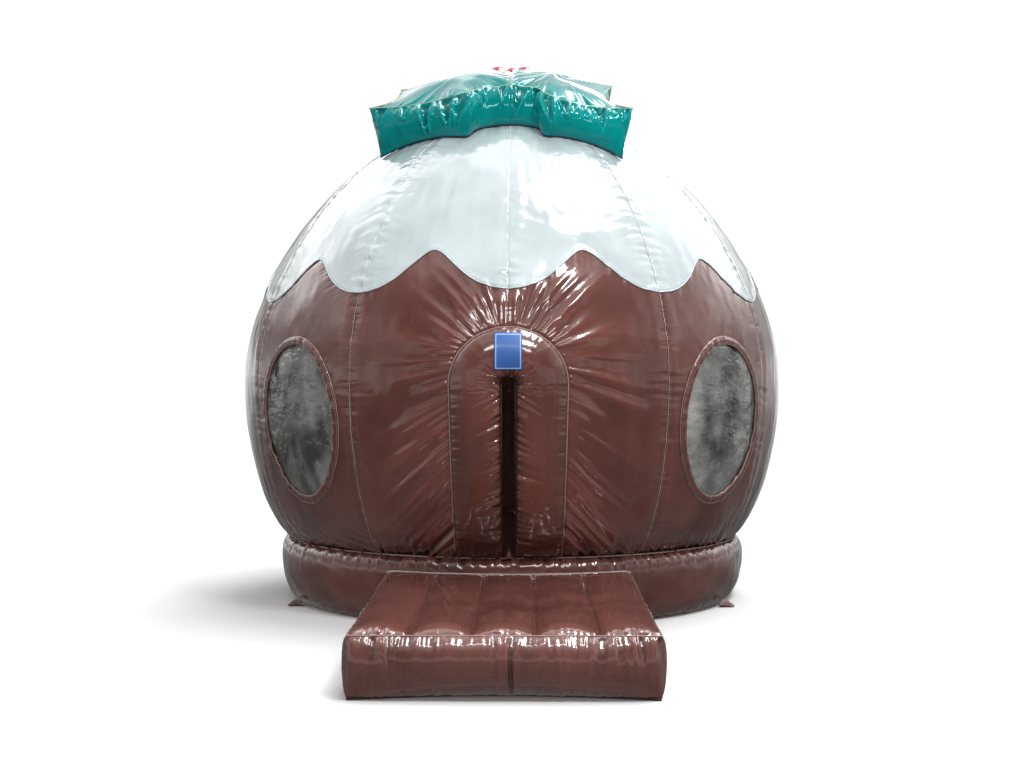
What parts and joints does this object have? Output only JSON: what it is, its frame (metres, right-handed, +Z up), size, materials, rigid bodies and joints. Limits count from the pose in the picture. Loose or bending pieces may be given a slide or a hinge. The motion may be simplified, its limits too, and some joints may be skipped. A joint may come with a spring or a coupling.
{
  "type": "inflatable bouncy castle",
  "caption": "Round air-inflated play dome styled as an iced plum pudding, with scalloped topping, oval windows, padded slit doorway, quilted entry step and holly crown.",
  "frame": {"origin": "on the ground under the vertical axis of the dome", "axes": "+Z up along the dome's axis, -Y towards the doorway and the entry step, +X to the right when facing +Y"},
  "size_m": [3.6522, 5.0608, 3.611],
  "materials": {
    "brown_coated_fabric": "glossy plastic-coated fabric, dark chocolate brown",
    "step_coated_fabric": "glossy plastic-coated fabric, reddish brown",
    "white_coated_fabric": "glossy plastic-coated fabric, cool white",
    "green_coated_fabric": "glossy plastic-coated fabric, holly green",
    "red_coated_fabric": "glossy plastic-coated fabric, berry red",
    "blue_printed_patch": "smooth blank blue patch with pale border lines",
    "clear_film": "clear glossy flexible window film",
    "brown_webbing": "slack coated fabric tab"
  },
  "bodies": {
    "root": {"base_mattress": "brown_coated_fabric", "anchor_tab_1": "brown_webbing", "anchor_tab_2": "brown_webbing", "anchor_tab_3": "brown_webbing", "anchor_tab_4": "brown_webbing", "anchor_tab_5": "brown_webbing", "entry_step": "step_coated_fabric", "pudding_gore_01": "brown_coated_fabric", "pudding_gore_02": "brown_coated_fabric", "pudding_gore_03": "brown_coated_fabric", "pudding_gore_04": "brown_coated_fabric", "pudding_gore_05": "brown_coated_fabric", "pudding_gore_06": "brown_coated_fabric", "pudding_gore_07": "brown_coated_fabric", "pudding_gore_08": "brown_coated_fabric", "pudding_gore_09": "brown_coated_fabric", "pudding_gore_10": "brown_coated_fabric", "pudding_gore_11": "brown_coated_fabric", "pudding_gore_12": "brown_coated_fabric", "icing_gore_01": "white_coated_fabric", "icing_gore_02": "white_coated_fabric", "icing_gore_03": "white_coated_fabric", "icing_gore_04": "white_coated_fabric", "icing_gore_05": "white_coated_fabric", "icing_gore_06": "white_coated_fabric", "icing_gore_07": "white_coated_fabric", "icing_gore_08": "white_coated_fabric", "icing_gore_09": "white_coated_fabric", "icing_gore_10": "white_coated_fabric", "icing_gore_11": "white_coated_fabric", "icing_gore_12": "white_coated_fabric", "crown_patch": "white_coated_fabric", "window_pane_1": "clear_film", "window_pane_2": "clear_film", "window_pane_3": "clear_film", "window_pane_4": "clear_film", "window_band_1": "brown_coated_fabric", "window_band_2": "brown_coated_fabric", "window_band_3": "brown_coated_fabric", "window_band_4": "brown_coated_fabric", "door_pad": "brown_coated_fabric", "door_plaque": "blue_printed_patch", "holly_leaf_left": "green_coated_fabric", "holly_leaf_right": "green_coated_fabric", "berry_left": "red_coated_fabric", "berry_right": "red_coated_fabric", "berry_back": "red_coated_fabric"}
  },
  "joints": []
}
